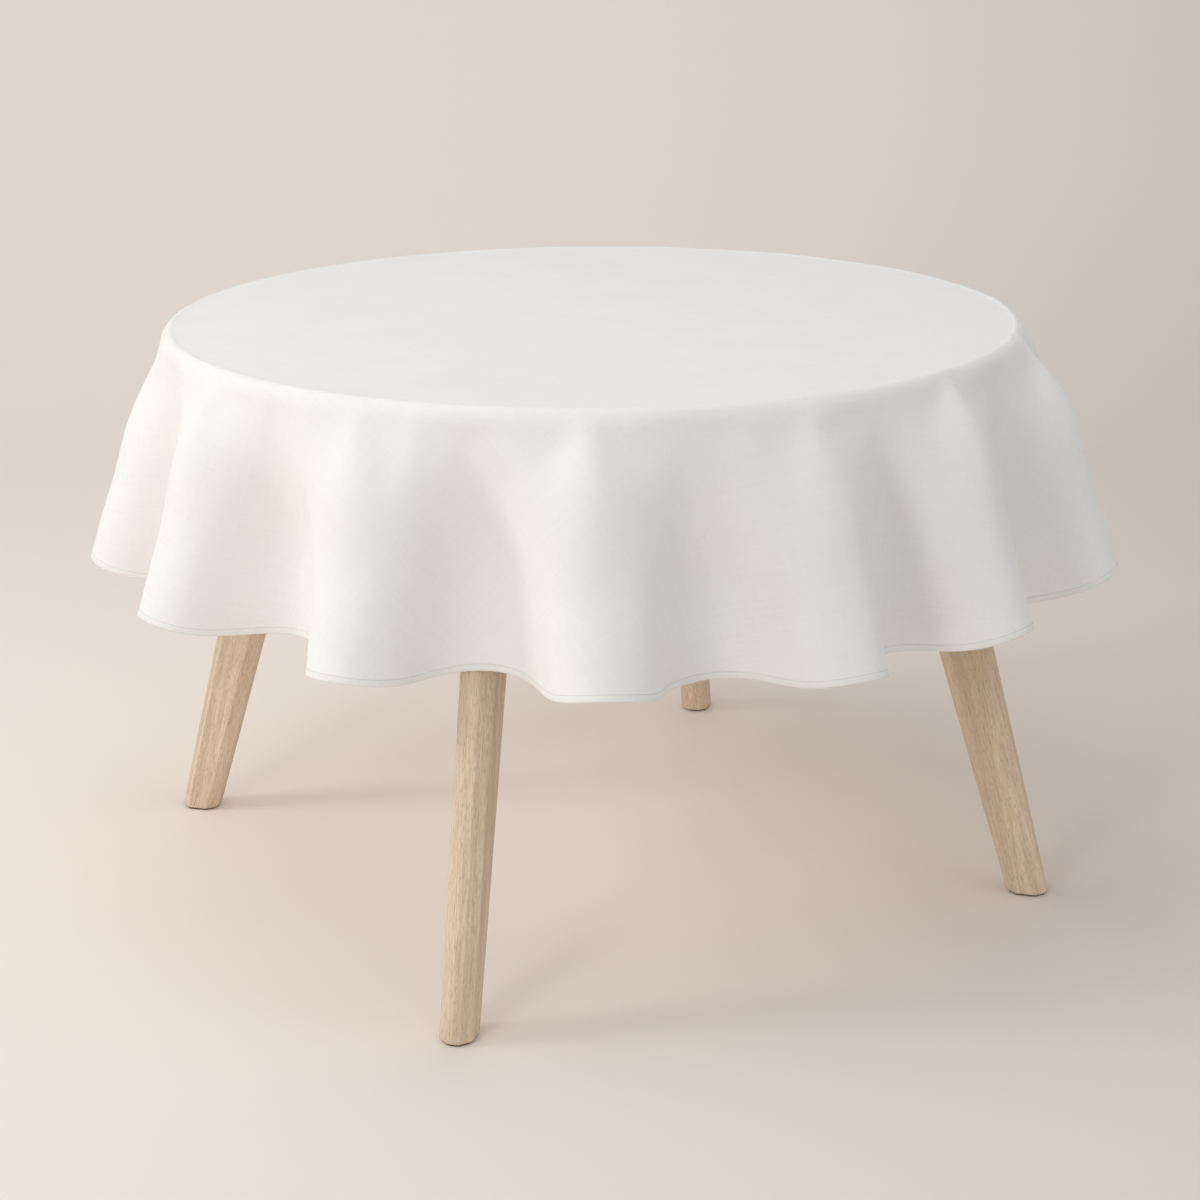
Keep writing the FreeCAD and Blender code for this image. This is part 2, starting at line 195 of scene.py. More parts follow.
def drape(flat_radii, count):
    """Middle of the hanging cloth, as an array of rings by count points.

    Point k of every ring lies on the same radius of the flat cloth."""
    edge, leaving = edge_lengths()
    flat = flat_directions(count)
    leave_angle = LEAVE_ANGLE - STAND_OUT_ANGLE * standing_out(flat)
    flare = FLARE + STAND_OUT_FLARE * standing_out(flat)
    bend_radius = (leaving - edge) / leave_angle
    waist = edge + bend_radius * np.sin(leave_angle)
    along = np.interp(flat, np.radians(FLAT_RIDGES), np.arange(len(RIDGES)))
    fold = np.minimum(along.astype(int), len(FOLDS) - 1)
    position = (along - fold) * FOLD_STEPS
    step = np.minimum(position.astype(int), FOLD_STEPS - 1)
    part = position - step
    fade = FOLD_FADE * (1 - 0.22 * np.sin(flat + 0.5) + 0.12 * np.sin(7 * flat + 2.5))
    measured = flat_measure(flat_radii, flat)
    middles = np.radians((FLAT_RIDGES[1:] + FLAT_RIDGES[:-1]) / 2)
    of_folds = flat_measure(flat_radii, middles)
    rings = np.zeros((len(flat_radii), count, 3))
    before = None
    for i, flat_radius in enumerate(flat_radii):
        angle = flat
        radius = np.full(count, flat_radius)
        height = np.full(count, BOARD_TOP + CLOTH_LIFT)
        if flat_radius > leaving:
            hung = flat_radius - leaving
            share = hung / (CLOTH_RADIUS - leaving)
            flared = waist + flare * (1 - np.exp(-hung * np.cos(leave_angle) / flare))
            floors = np.interp(middles, flat, flared, period=2 * np.pi)
            valleys = floors + (VALLEYS - floors) * smooth_step(share / VALLEY_FALL)
            angles, radii = fold_outlines(FLAT_RIDGES, of_folds[i], share, valleys)
            angle = angles[fold, step] * (1 - part) + angles[fold, step + 1] * part
            radius = radii[fold, step] * (1 - part) + radii[fold, step + 1] * part
            begun = 1 - np.exp(-(hung / fade) ** 1.6)
            angle = flat + (angle - flat) * begun
            radius = flared + (radius - flared) * begun
            last_radius, last_angle, last_height = before
            run = last_radius ** 2 + radius ** 2
            run -= 2 * radius * last_radius * np.cos(angle - last_angle)
            length = measured[i] - measured[i - 1]
            height = last_height - np.sqrt(np.maximum(length ** 2 - run, (0.25 * length) ** 2))
        elif flat_radius > edge:
            bend = (flat_radius - edge) / bend_radius
            radius = edge + bend_radius * np.sin(bend)
            height -= bend_radius * (1 - np.cos(bend))
        rings[i, :, 0] = radius * np.sin(angle)
        rings[i, :, 1] = -radius * np.cos(angle)
        rings[i, :, 2] = height
        before = (radius, angle, height)
    return rings


# ---------------------------------------------------------------- settling as cloth
COARSE_COUNT = 240
SETTLE_FRAMES = 30
SKIRT_HOLD = 0.14            # how firmly the skirt keeps to its folds while it settles,
HEM_HOLD = 0.32              # just below the edge of the board and at the hem
HOLE_RADIUS = 0.02           # hole in the middle of the settling board
BOARD_TURNS = 96
EDGE_STEPS = 7


def coarse_radii():
    """Flat radii of the rings that the cloth simulation uses."""
    edge, leaving = edge_lengths()
    over = np.linspace(edge, leaving, 4)
    down = np.linspace(leaving, CLOTH_RADIUS, 24)[1:]
    return np.concatenate([np.linspace(0.08, edge - 0.02, 9), over, down])


def grid_faces(rings, count):
    """Quads between neighbouring rings of points, closed round the table."""
    ring, k = np.meshgrid(np.arange(rings - 1), np.arange(count), indexing="ij")
    following = (k + 1) % count
    quads = [ring * count + k, (ring + 1) * count + k,
             (ring + 1) * count + following, ring * count + following]
    return np.stack(quads, axis=-1).reshape(-1, 4)


def new_mesh(name, points, faces):
    """Mesh object from an array of points and a list of faces."""
    mesh = bpy.data.meshes.new(name)
    mesh.from_pydata([tuple(p) for p in points], [], [tuple(int(i) for i in f) for f in faces])
    mesh.polygons.foreach_set("use_smooth", [True] * len(mesh.polygons))
    mesh.update()
    piece = bpy.data.objects.new(name, mesh)
    bpy.context.scene.collection.objects.link(piece)
    return piece


def table_dummy():
    """Temporary board for the cloth to rest on."""
    bends = np.radians(np.linspace(0.0, 90.0, EDGE_STEPS))
    profile = [(HOLE_RADIUS, BOARD_TOP)]
    profile += [(TOP_RADIUS - EDGE_ROUND * (1 - math.sin(bend)),
                 BOARD_TOP - EDGE_ROUND * (1 - math.cos(bend))) for bend in bends]
    profile += [(TOP_RADIUS, BOARD_UNDERSIDE), (HOLE_RADIUS, BOARD_UNDERSIDE)]
    angles = 2 * np.pi * np.arange(BOARD_TURNS) / BOARD_TURNS
    points = [(r * math.sin(a), -r * math.cos(a), z) for r, z in profile for a in angles]
    board = new_mesh("settling_board", points, grid_faces(len(profile), BOARD_TURNS))
    board.modifiers.new("collision", "COLLISION")
    board.collision.thickness_outer = 0.0005
    board.collision.cloth_friction = 30.0
    return board


def settle(rings, flat_radii):
    """Let the draped cloth hang for a moment, and return where its points come to rest."""
    count = rings.shape[1]
    flat_angles = flat_directions(count)
    cloth = new_mesh("settling_cloth", rings.reshape(-1, 3), grid_faces(len(rings), count))
    cloth.shape_key_add(name="Basis")
    flat = cloth.shape_key_add(name="flat")
    measured = flat_measure(flat_radii, flat_angles)
    flat_points = np.zeros_like(rings)
    flat_points[:, :, 0] = measured * np.sin(flat_angles)
    flat_points[:, :, 1] = -measured * np.cos(flat_angles)
    flat.data.foreach_set("co", flat_points.ravel())
    board = table_dummy()
    on_board = edge_lengths()[0] + 0.001
    held = cloth.vertex_groups.new(name="held")
    for ring, flat_radius in enumerate(flat_radii):
        drop = (flat_radius - TOP_RADIUS) / (CLOTH_RADIUS - TOP_RADIUS)
        hold = SKIRT_HOLD + (HEM_HOLD - SKIRT_HOLD) * smooth_step(drop)
        if flat_radius < on_board:
            hold = 1.0
        held.add(list(range(ring * count, (ring + 1) * count)), float(hold), "ADD")
    modifier = cloth.modifiers.new("cloth", "CLOTH")
    stuff = modifier.settings
    stuff.quality = 10
    stuff.mass = 0.3
    stuff.tension_stiffness = 200.0
    stuff.compression_stiffness = 200.0
    stuff.shear_stiffness = 30.0
    stuff.bending_stiffness = 4.0
    stuff.vertex_group_mass = "held"
    stuff.pin_stiffness = 1.0
    stuff.rest_shape_key = flat
    modifier.collision_settings.distance_min = 0.001
    scene = bpy.context.scene
    modifier.point_cache.frame_start = 1
    modifier.point_cache.frame_end = SETTLE_FRAMES
    for number in range(1, SETTLE_FRAMES + 1):
        scene.frame_set(number)
    hanging = cloth.evaluated_get(bpy.context.evaluated_depsgraph_get()).to_mesh()
    settled = np.zeros(len(hanging.vertices) * 3, dtype=np.float32)
    hanging.vertices.foreach_get("co", settled)
    scene.frame_set(1)
    for thing in (cloth, board):
        bpy.data.objects.remove(thing, do_unlink=True)
    return settled.reshape(rings.shape).astype(float)


def spline_weights(part):
    """Weights of four neighbouring values in a cubic B-spline."""
    return [(1 - part) ** 3 / 6, (3 * part ** 3 - 6 * part ** 2 + 4) / 6,
            (-3 * part ** 3 + 3 * part ** 2 + 3 * part + 1) / 6, part ** 3 / 6]


def finer(field, ring_places, count):
    """Smooth values on a finer grid; ring_places are positions along field's rings."""
    rings, coarse = field.shape[:2]
    places = np.arange(count) * coarse / count
    base = places.astype(int)
    weights = spline_weights(places - base)
    rows = sum(w[None, :, None] * field[:, (base + n - 1) % coarse]
               for n, w in enumerate(weights))
    base = np.minimum(ring_places.astype(int), rings - 2)
    weights = spline_weights(ring_places - base)
    padded = np.concatenate([2 * rows[:1] - rows[1:2], rows, 2 * rows[-1:] - rows[-2:-1]])
    padded = np.concatenate([padded, 2 * padded[-1:] - padded[-2:-1]])
    return sum(w[:, None, None] * padded[base + n] for n, w in enumerate(weights))


# ---------------------------------------------------------------- pieces of the cloth
COUNT = 720                  # points round every ring
SWELL_HEIGHT = 0.0003        # slight unevenness of the cloth on the board ...
SWELL_FADE = 0.060           # ... and the width over which it dies away at the edge


def fine_radii():
    """Flat radii of the finished cloth's rings, closest together over the board's edge."""
    edge, leaving = edge_lengths()
    middle = np.linspace(0.004, edge - 0.03, 15)
    over = np.linspace(edge - 0.015, leaving + 0.006, 11)
    down = np.linspace(over[-1], CLOTH_RADIUS - HEM_WIDTH, 40)[1:]
    last = [CLOTH_RADIUS - 0.5 * HEM_WIDTH, CLOTH_RADIUS - 0.0004]
    return np.concatenate([middle, over, down, last])


def lay_of_cloth(flat_radii):
    """Final place of the middle of the cloth, and the same points on the flat cloth."""
    rings = drape(flat_radii, COUNT)
    radii = coarse_radii()
    start = drape(radii, COARSE_COUNT)
    moved = settle(start, radii) - start
    places = np.interp(flat_radii, radii, np.arange(len(radii)))
    rings += finer(moved, places, COUNT)
    flat = flat_directions(COUNT)
    measured = flat_measure(flat_radii, flat)
    x = measured * np.sin(flat)
    y = -measured * np.cos(flat)
    swell = np.sin(11 * x + 2 * y + 1) * np.sin(9 * y - 3 * x) + 0.6 * np.sin(23 * x - 17 * y)
    fading = 1 - smooth_step((flat_radii[:, None] - edge_lengths()[0]) / SWELL_FADE + 0.5)
    rings[:, :, 2] += SWELL_HEIGHT * (1 + 0.6 * swell) * fading
    return rings, np.stack([x, y], axis=-1)


def down_and_outward(rings):
    """Unit vectors down the cloth and out of it, at every point."""
    around = np.roll(rings, -1, axis=1) - np.roll(rings, 1, axis=1)
    down = np.gradient(rings, axis=0)
    around /= np.linalg.norm(around, axis=2, keepdims=True)
    down /= np.linalg.norm(down, axis=2, keepdims=True)
    outward = np.cross(down, around)
    outward /= np.linalg.norm(outward, axis=2, keepdims=True)
    return down, outward


def give_flat_map(piece, flat_places):
    """UV map that holds each point's place on the flat cloth, in metres."""
    layer = piece.data.uv_layers.new(name="flat_cloth")
    corners = np.zeros(len(piece.data.loops), dtype=np.int32)
    piece.data.loops.foreach_get("vertex_index", corners)
    layer.data.foreach_set("uv", flat_places[corners].astype(np.float32).ravel())


def make_panel(rings, flat, outward):
    """The cloth itself: an outer and an inner skin, joined at the edge and the middle."""
    outer = rings + outward * CLOTH_THICKNESS / 2
    inner = (rings - outward * CLOTH_THICKNESS / 2)[::-1]
    skins = np.concatenate([outer, inner])
    faces = [list(face) for face in grid_faces(len(skins), COUNT)]
    last = (len(skins) - 1) * COUNT
    faces.append(list(range(COUNT)))
    faces.append([last + k for k in reversed(range(COUNT))])
    panel = new_mesh("linen_cloth", skins.reshape(-1, 3), faces)
    give_flat_map(panel, np.concatenate([flat, flat[::-1]]).reshape(-1, 2))
    return panel


# Section of the folded hem: distance up from the edge, and distance out from the middle.
HEM_SECTION = [
    (0.00955, 0.00037), (0.00925, 0.00062), (0.00880, 0.00072), (0.00835, 0.00060),
    (0.00800, 0.00052), (0.00765, 0.00062), (0.00700, 0.00082), (0.00450, 0.00092),
    (0.00150, 0.00090), (0.00040, 0.00060), (0.00000, 0.00000), (0.00040, -0.00080),
    (0.00150, -0.00125), (0.00450, -0.00135), (0.00730, -0.00120), (0.00800, -0.00095),
    (0.00870, -0.00120), (0.00930, -0.00110), (0.00955, -0.00060), (0.00955, -0.00037),
]
STITCH_UP = 0.0080
STITCH_PITCH = 0.0031
STITCH_LENGTH = 0.0023
STITCH_RADIUS = 0.00024
STITCH_SIDES = 6
STITCH_ARCH = 0.00012        # how far a stitch rises in its middle
STITCH_FACES = [(1.0, 0.00068), (-1.0, 0.00108)]    # outside and inside: depth of the seam
# One stitch: share of its length, and its thickness there.
STITCH_PROFILE = [(0.0, 0.35), (0.15, 0.9), (0.5, 1.0), (0.85, 0.9), (1.0, 0.35)]


def make_hem(edge, down, outward, flat_edge):
    """The turned edge, as a closed band with a pressed line where it is sewn."""
    band = np.array([edge - down * up + outward * out for up, out in HEM_SECTION])
    faces = grid_faces(len(band) + 1, COUNT) % (len(band) * COUNT)
    hem = new_mesh("linen_hem", band.reshape(-1, 3), faces)
    scale = np.array([1 - up / CLOTH_RADIUS for up, _ in HEM_SECTION])[:, None, None]
    give_flat_map(hem, (flat_edge[None] * scale).reshape(-1, 2))
    return hem


def make_stitches(edge, down, outward):
    """Lockstitch round the hem, one short thread after another, outside and inside."""
    steps = np.linalg.norm(np.roll(edge, -1, axis=0) - edge, axis=1)
    lengths = np.concatenate([[0.0], np.cumsum(steps)])
    total = lengths[-1]
    number = int(total / STITCH_PITCH)
    starts = total * np.arange(number) / number

    def at(field, where):
        closed = np.concatenate([field, field[:1]])
        return np.array([np.interp(where % total, lengths, closed[:, c]) for c in range(3)])

    points = []
    faces = []
    sides = STITCH_SIDES
    last_ring = (len(STITCH_PROFILE) - 1) * sides
    for face_side, depth in STITCH_FACES:
        for start in starts:
            first = len(points)
            for share, size in STITCH_PROFILE:
                where = start + share * STITCH_LENGTH
                middle = at(edge, where) - at(down, where) * STITCH_UP
                out = at(outward, where) * face_side
                up = -at(down, where)
                rise = depth + STITCH_ARCH * math.sin(math.pi * share)
                for side in range(sides):
                    turn = 2 * math.pi * side / sides
                    offset = out * math.cos(turn) + up * math.sin(turn)
                    points.append(middle + out * rise + offset * STITCH_RADIUS * size)
            for ring in range(first, first + last_ring, sides):
                for side in range(sides):
                    a = ring + side
                    b = ring + (side + 1) % sides
                    faces.append((a, b, b + sides, a + sides))
            faces.append([first + side for side in reversed(range(sides))])
            faces.append([first + last_ring + side for side in range(sides)])
    return new_mesh("hem_stitches", points, faces)


# ---------------------------------------------------------------- materials
class Nodes:
    """Short ways to add and join the nodes of one material."""

    def __init__(self, name):
        self.material = bpy.data.materials.new(name)
        self.material.use_nodes = True
        self.tree = self.material.node_tree
        self.shader = self.tree.nodes["Principled BSDF"]

    def add(self, kind, **settings):
        node = self.tree.nodes.new(kind)
        for key, value in settings.items():
            setattr(node, key, value)
        return node

    def put(self, socket, value):
        if isinstance(value, bpy.types.NodeSocket):
            self.tree.links.new(value, socket)
        else:
            socket.default_value = value

    def math(self, operation, *values, clamp=False):
        node = self.add("ShaderNodeMath", operation=operation, use_clamp=clamp)
        for socket, value in zip(node.inputs, values):
            self.put(socket, value)
        return node.outputs[0]

    def times(self, value, factor):
        return self.math("MULTIPLY", value, factor)

    def vector_math(self, operation, *values):
        node = self.add("ShaderNodeVectorMath", operation=operation)
        for socket, value in zip(node.inputs, values):
            self.put(socket, value)
        return node.outputs["Value"] if operation == "DOT_PRODUCT" else node.outputs["Vector"]

    def noise(self, vector, scale=1.0, detail=2.0, roughness=0.5):
        node = self.add("ShaderNodeTexNoise")
        self.put(node.inputs["Vector"], vector)
        self.put(node.inputs["Scale"], scale)
        self.put(node.inputs["Detail"], detail)
        self.put(node.inputs["Roughness"], roughness)
        return node.outputs["Fac"]

    def ramp(self, value, low, high, bottom=0.0, top=1.0):
        """Value between low and high brought smoothly to bottom .. top."""
        node = self.add("ShaderNodeMapRange", interpolation_type="SMOOTHSTEP")
        for socket, number in zip(node.inputs, (value, low, high, bottom, top)):
            self.put(socket, number)
        return node.outputs[0]

    def mix(self, share, first, second):
        node = self.add("ShaderNodeMix", data_type="RGBA")
        self.put(node.inputs[0], share)
        self.put(node.inputs[6], first)
        self.put(node.inputs[7], second)
        return node.outputs[2]

    def combine(self, x, y, z):
        node = self.add("ShaderNodeCombineXYZ")
        for socket, value in zip(node.inputs, (x, y, z)):
            self.put(socket, value)
        return node.outputs[0]

    def bump(self, height, distance, strength=1.0):
        node = self.add("ShaderNodeBump")
        self.put(node.inputs["Height"], height)
        self.put(node.inputs["Distance"], distance)
        self.put(node.inputs["Strength"], strength)
        self.put(self.shader.inputs["Normal"], node.outputs[0])

    def place(self):
        return self.add("ShaderNodeTexCoord").outputs["Object"]


def colour(red, green, blue):
    """Linear colour from the sRGB numbers 0 .. 255."""
    def linear(value):
        share = value / 255
        return share / 12.92 if share <= 0.04045 else ((share + 0.055) / 1.055) ** 2.4
    return (linear(red), linear(green), linear(blue), 1.0)


LINEN_LIGHT = colour(241, 240, 237)
LINEN_DARK = colour(230, 228, 222)
THREAD_PITCH = 0.00078


def linen(name, light, dark, turn=0.0, relief=1.0):
    """Plain-woven linen in the cloth's flat measure: warp, weft, slubs and soft mottling."""
    m = Nodes(name)
    uv = m.add("ShaderNodeUVMap", uv_map="flat_cloth").outputs[0]
    rotate = m.add("ShaderNodeVectorRotate", rotation_type="Z_AXIS")
    m.put(rotate.inputs["Vector"], uv)
    m.put(rotate.inputs["Angle"], turn)
    split = m.add("ShaderNodeSeparateXYZ")
    m.put(split.inputs[0], rotate.outputs[0])
    x, y = split.outputs[0], split.outputs[1]

    threads = math.pi / THREAD_PITCH
    warp = m.math("SINE", m.times(x, threads))
    weft = m.math("SINE", m.times(y, threads))
    weave = m.math("MULTIPLY", warp, weft)

    def stretched(x_scale, y_scale, seed, detail=2.0):
        """Noise drawn out along the warp or the weft."""
        place = m.combine(m.times(x, x_scale), m.times(y, y_scale), seed)
        return m.noise(place, detail=detail)

    slub_x = stretched(26.0, 640.0, 3.0, detail=3.0)
    slub_y = stretched(640.0, 26.0, 9.0, detail=3.0)
    thick_x = m.ramp(slub_x, 0.60, 0.78)
    thick_y = m.ramp(slub_y, 0.60, 0.78)
    slub = m.math("MAXIMUM", thick_x, thick_y)
    streak = m.math("ADD", stretched(5.0, 210.0, 5.0), stretched(210.0, 5.0, 1.0))
    mottle = m.noise(m.combine(x, y, 0.0), scale=9.0, detail=4.0, roughness=0.6)
    fleck = m.ramp(m.noise(m.combine(x, y, 7.0), scale=420.0, detail=2.0), 0.62, 0.80)

    tone = m.times(m.ramp(streak, 0.60, 1.40), 0.22)
    tone = m.math("ADD", tone, m.times(m.ramp(mottle, 0.25, 0.75), 0.22))
    tone = m.math("ADD", tone, m.times(slub, 0.45))
    tone = m.math("ADD", tone, m.times(fleck, 0.40), clamp=True)
    m.put(m.shader.inputs["Base Color"], m.mix(tone, light, dark))
    rough = m.ramp(mottle, 0.25, 0.75, 0.84, 0.95)
    m.put(m.shader.inputs["Roughness"], rough)
    m.shader.inputs["Specular IOR Level"].default_value = 0.25
    m.shader.inputs["Sheen Weight"].default_value = 0.12
    m.shader.inputs["Sheen Roughness"].default_value = 0.5

    height = m.times(weave, 0.5)
    height = m.math("ADD", height, m.times(slub, 1.3))
    height = m.math("ADD", height, m.times(streak, 0.6))
    m.bump(height, 0.00010 * relief, 0.7)
    return m.material


def thread():
    """Spun sewing thread, painted a little darker than the cloth for the shade along the sewn
    groove.
    """
    m = Nodes("sewing_thread")
    place = m.place()
    fibres = m.noise(place, scale=2600.0, detail=2.0)
    # painted shade: both tones sit below the cloth's, for the shade in the seam; the fibre
    # noise is the thread's own
    tint = m.mix(fibres, colour(206, 203, 196), colour(226, 223, 216))
    m.put(m.shader.inputs["Base Color"], tint)
    m.put(m.shader.inputs["Roughness"], m.ramp(fibres, 0.3, 0.7, 0.6, 0.8))
    m.shader.inputs["Sheen Weight"].default_value = 0.2
    m.bump(fibres, 0.00005, 0.6)
    return m.material


def grain_space(m, along, across, through, shift):
    """Place of a point along the grain, across it and into the timber."""
    place = m.vector_math("SUBTRACT", m.place(), shift)
    return [m.vector_math("DOT_PRODUCT", place, tuple(axis))
            for axis in (along, across, through)]


OAK_LIGHT = colour(232, 211, 187)
OAK_MID = colour(218, 194, 168)
OAK_DARK = colour(184, 157, 131)
OAK_PORE = colour(134, 108, 86)


def oak(name, along, across, through, shift=(0.0, 0.0, 0.0)):
    """Pale matt-oiled oak: straight growth rings, fine fibres and short dark pores."""
    m = Nodes(name)
    s, u, w = grain_space(m, along, across, through, shift)

    def stretched(across_scale, along_scale, **settings):
        """Noise drawn out along the grain."""
        place = m.combine(m.times(u, across_scale), m.times(w, across_scale),
                          m.times(s, along_scale))
        return m.noise(place, **settings)

    drift = m.noise(m.combine(m.times(s, 1.6), m.times(u, 9.0), 2.0), detail=2.0)
    depth = m.math("ADD", m.times(u, 62.0), m.times(w, 38.0))
    depth = m.math("ADD", depth, m.times(drift, 3.2))
    rings = m.noise(m.combine(depth, m.times(s, 0.9), 0.0), scale=2.2, detail=3.0,
                    roughness=0.6)
    fibres = stretched(900.0, 26.0, detail=3.0, roughness=0.65)
    dashes = m.ramp(stretched(620.0, 110.0, detail=2.0, roughness=0.6), 0.50, 0.68)
    pores = m.ramp(stretched(1500.0, 95.0, detail=1.0), 0.63, 0.72)
    pores = m.math("MULTIPLY", pores, m.ramp(rings, 0.40, 0.62, 0.25, 1.0))
    broad = stretched(22.0, 4.0, detail=2.0)

    base = m.mix(m.ramp(rings, 0.34, 0.66), OAK_LIGHT, OAK_MID)
    base = m.mix(m.times(m.ramp(fibres, 0.40, 0.70), 0.55), base, OAK_DARK)
    base = m.mix(m.times(m.ramp(broad, 0.45, 0.75), 0.35), base, OAK_DARK)
    base = m.mix(m.times(dashes, 0.50), base, OAK_DARK)
    base = m.mix(m.times(pores, 0.75), base, OAK_PORE)
    m.put(m.shader.inputs["Base Color"], base)
    m.put(m.shader.inputs["Roughness"], m.ramp(fibres, 0.3, 0.7, 0.50, 0.66))
    m.shader.inputs["Specular IOR Level"].default_value = 0.35
    height = m.math("SUBTRACT", m.times(fibres, 0.5), pores)
    m.bump(height, 0.00012, 0.7)
    return m.material


def bare_board():
    """Core of the top: pale raw board with fine flecks."""
    m = Nodes("raw_board")
    place = m.place()
    chips = m.noise(place, scale=260.0, detail=3.0, roughness=0.7)
    clouds = m.noise(place, scale=14.0, detail=2.0)
    base = m.mix(m.ramp(chips, 0.35, 0.7), colour(206, 184, 152), colour(176, 150, 118))
    base = m.mix(m.times(clouds, 0.3), base, colour(216, 197, 168))
    m.put(m.shader.inputs["Base Color"], base)
    m.put(m.shader.inputs["Roughness"], m.ramp(chips, 0.3, 0.7, 0.72, 0.86))
    m.bump(chips, 0.0001, 0.5)
    return m.material


def zinc():
    """Zinc-plated steel with soft clouding and fine handling marks."""
    m = Nodes("zinc_plated_steel")
    place = m.place()
    clouds = m.noise(place, scale=90.0, detail=3.0)
    marks = m.noise(place, scale=900.0, detail=2.0)
    tint = m.mix(clouds, colour(196, 198, 200), colour(168, 170, 172))
    m.put(m.shader.inputs["Base Color"], tint)
    m.put(m.shader.inputs["Roughness"], m.ramp(clouds, 0.3, 0.7, 0.28, 0.46))
    m.shader.inputs["Metallic"].default_value = 1.0
    m.bump(marks, 0.00003, 0.4)
    return m.material


def felt():
    """Pressed felt of the foot glides, painted dark for the contact shade under the feet."""
    m = Nodes("felt_painted_contact_shade")
    place = m.place()
    fluff = m.noise(place, scale=1400.0, detail=3.0, roughness=0.7)
    # painted shade: the felt's dark colours stand in for the shade where the feet meet the
    # floor
    m.put(m.shader.inputs["Base Color"], m.mix(fluff, colour(58, 52, 47), colour(92, 84, 76)))
    m.put(m.shader.inputs["Roughness"], m.ramp(fluff, 0.3, 0.7, 0.88, 0.98))
    m.shader.inputs["Sheen Weight"].default_value = 0.3
    m.bump(fluff, 0.0002, 0.8)
    return m.material


def paint(node, material):
    """Give a CAD node a better material."""
    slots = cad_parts[node].data.materials
    slots.clear()
    slots.append(material)


# ---------------------------------------------------------------- the table's finishes
UP = Vector((0.0, 0.0, 1.0))
LEGS = {"front_left": -45.0, "front_right": 45.0, "back_right": 135.0, "back_left": 225.0}


def plan(angle):
    """Unit vector in plan, from an angle off -Y towards +X."""
    turn = math.radians(angle)
    return Vector((math.sin(turn), -math.cos(turn), 0.0))


def leg_grain(name, angle):
    """Direction of the timber in a leg: from its glide to the middle of its head."""
    points = np.array([v.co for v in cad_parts[f"leg_{name}"].data.vertices])
    low = points[points[:, 2] < points[:, 2].min() + 0.02].mean(axis=0)
    high = points[points[:, 2] > points[:, 2].max() - 0.005].mean(axis=0)
    along = Vector(high - low).normalized()
    across = plan(angle + 90.0)
    return along, across, along.cross(across), Vector(low)


def finish_table():
    """Materials for every CAD node that stays in sight."""
    glide = felt()
    for i, (name, angle) in enumerate(LEGS.items()):
        along, across, through, low = leg_grain(name, angle)
        shift = tuple(low + along * (0.7 * i))
        paint(f"leg_{name}", oak(f"oak_leg_{name}", along, across, through, shift))
        paint(f"foot_glide_{name}", glide)
    for name, angle in (("rail_front_left_to_back_right", 135.0),
                        ("rail_front_right_to_back_left", 45.0)):
        grain = (plan(angle), UP, plan(angle + 90.0))
        paint(name, oak(f"oak_{name}", *grain, (0, 0, 0.3)))
    paint("top_core", bare_board())
    paint("top_edge_lipping", oak("oak_lipping", Vector((1, 0, 0)), UP, Vector((0, 1, 0))))
    paint("leg_dowels", oak("oak_dowels", plan(45.0), UP, plan(135.0)))
    steel = zinc()
    for node in ("leg_bolts", "bolt_washers", "barrel_nuts", "top_brackets", "bracket_screws",
                 "glide_nails"):
        paint(node, steel)


# ---------------------------------------------------------------- stage, light and camera
def in_camera_plan(across, away, height):
    """Point from distances to the right of the camera's line and away from the camera."""
    turn = math.radians(CAMERA_AZIMUTH)
    right = Vector((math.cos(turn), math.sin(turn), 0.0))
    forward = Vector((-math.sin(turn), math.cos(turn), 0.0))
    return right * across + forward * away + Vector((0.0, 0.0, height))


# Paper colours with painted light: lighter on the left, with painted shade towards the right,
# for the fall-off of the key light.
STAGE_PAINTED_LIT = colour(244, 235, 227)
STAGE_PAINTED_SHADE = colour(223, 214, 207)
STAGE_SIDES = (-9.0, -3.0, 3.0, 9.0)
SWEEP_START = 2.2            # where the floor begins to curve up, behind the table
SWEEP_RADIUS = 1.6
STAGE_HEIGHT = 7.0


def make_stage():
    """Pale floor that sweeps up into a backdrop, painted a little darker to the right and in
    front as shade.
    """
    section = [(-9.0, 0.0), (-3.0, 0.0), (0.0, 0.0), (1.8, 0.0)]
    for turn in np.radians(np.arange(0, 91, 6)):
        section.append((SWEEP_START + SWEEP_RADIUS * math.sin(turn),
                        SWEEP_RADIUS * (1 - math.cos(turn))))
    section.append((SWEEP_START + SWEEP_RADIUS, STAGE_HEIGHT))
    points = [in_camera_plan(across, away, height)
              for across in STAGE_SIDES for away, height in section]
    length = len(section)
    corners = [side * length + k for side in range(len(STAGE_SIDES) - 1)
               for k in range(length - 1)]
    faces = [(a, a + length, a + length + 1, a + 1) for a in corners]
    sweep = new_mesh("studio_sweep", points, faces)
    m = Nodes("studio_paper")
    clouds = m.noise(m.place(), scale=0.8, detail=2.0)
    across = m.vector_math("DOT_PRODUCT", m.place(), tuple(in_camera_plan(1.0, -0.45, 0.0)))
    # painted shade: the paper is mixed towards the darker colour to the right and in front
    painted_shade_to_right = m.ramp(m.math("MULTIPLY_ADD", clouds, 0.3, across), -1.5, 2.0, 0.0, 1.0)
    m.put(m.shader.inputs["Base Color"], m.mix(painted_shade_to_right, STAGE_PAINTED_LIT, STAGE_PAINTED_SHADE))
    m.put(m.shader.inputs["Roughness"], m.ramp(clouds, 0.3, 0.7, 0.55, 0.65))
    m.shader.inputs["Specular IOR Level"].default_value = 0.2
    sweep.data.materials.append(m.material)


WORLD_COLOUR = (0.97, 0.985, 1.0, 1.0)
WORLD_STRENGTH = 0.60


